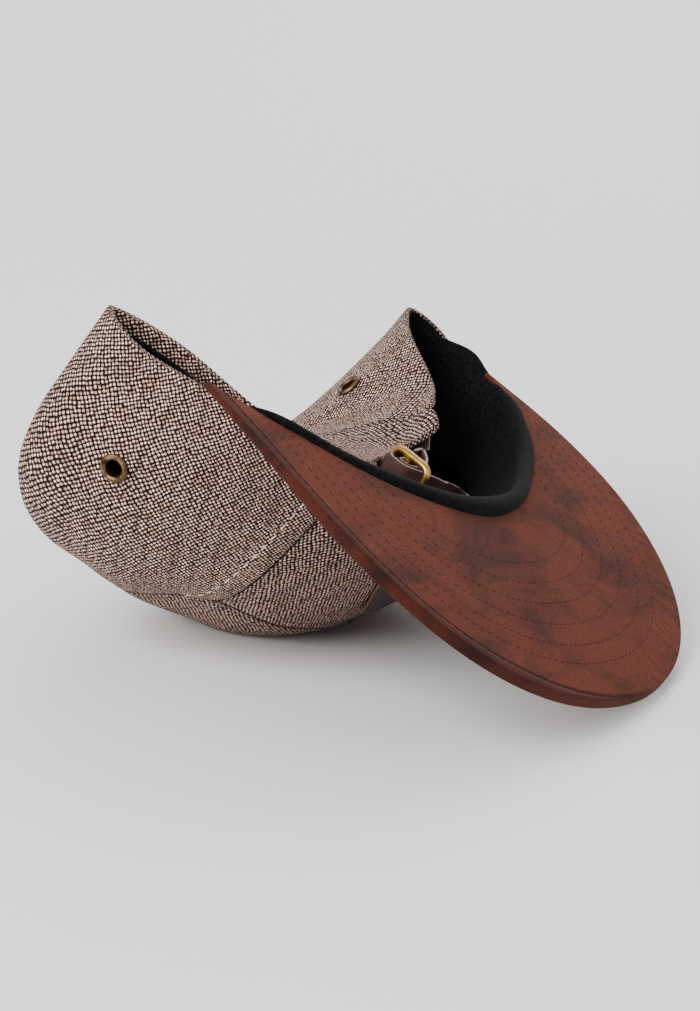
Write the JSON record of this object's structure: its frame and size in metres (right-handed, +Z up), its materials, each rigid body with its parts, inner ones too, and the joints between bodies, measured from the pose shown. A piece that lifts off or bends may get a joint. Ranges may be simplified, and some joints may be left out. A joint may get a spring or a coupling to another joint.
{
  "type": "five-panel cap",
  "caption": "Tweed cap with a suede flat brim and a buckled leather back strap, lying crown down with its back half pushed into the crown.",
  "frame": {"origin": "on the floor, at the middle of the bounding box", "axes": "+Z up from the floor the crown lies on, +X towards the wearer's right side, -Y towards the brim's tip"},
  "size_m": [0.189, 0.1684, 0.1026],
  "materials": {
    "tweed": "cream and dark brown dotted weave, matte",
    "suede": "reddish brown suede with cloudy nap",
    "sweatband": "black felted cotton, matte",
    "strap_leather": "dark brown leather with raw mauve-grey edges",
    "patch_leather": "near-black leather with a tan cut edge, bare",
    "brass": "golden brass, satin",
    "old_brass": "antique brass, dull"
  },
  "bodies": {
    "root": {"front_panel": "tweed", "side_panel_left": "tweed", "back_panel": "tweed", "side_panel_right": "tweed", "top_panel": "tweed", "brim": "suede", "sweatband": "sweatband", "eyelet_left": "old_brass", "eyelet_right": "old_brass", "front_patch": "patch_leather", "buckle_frame": "brass", "buckle_roller": "old_brass", "strap": "strap_leather", "strap_tab": "strap_leather"}
  },
  "joints": []
}
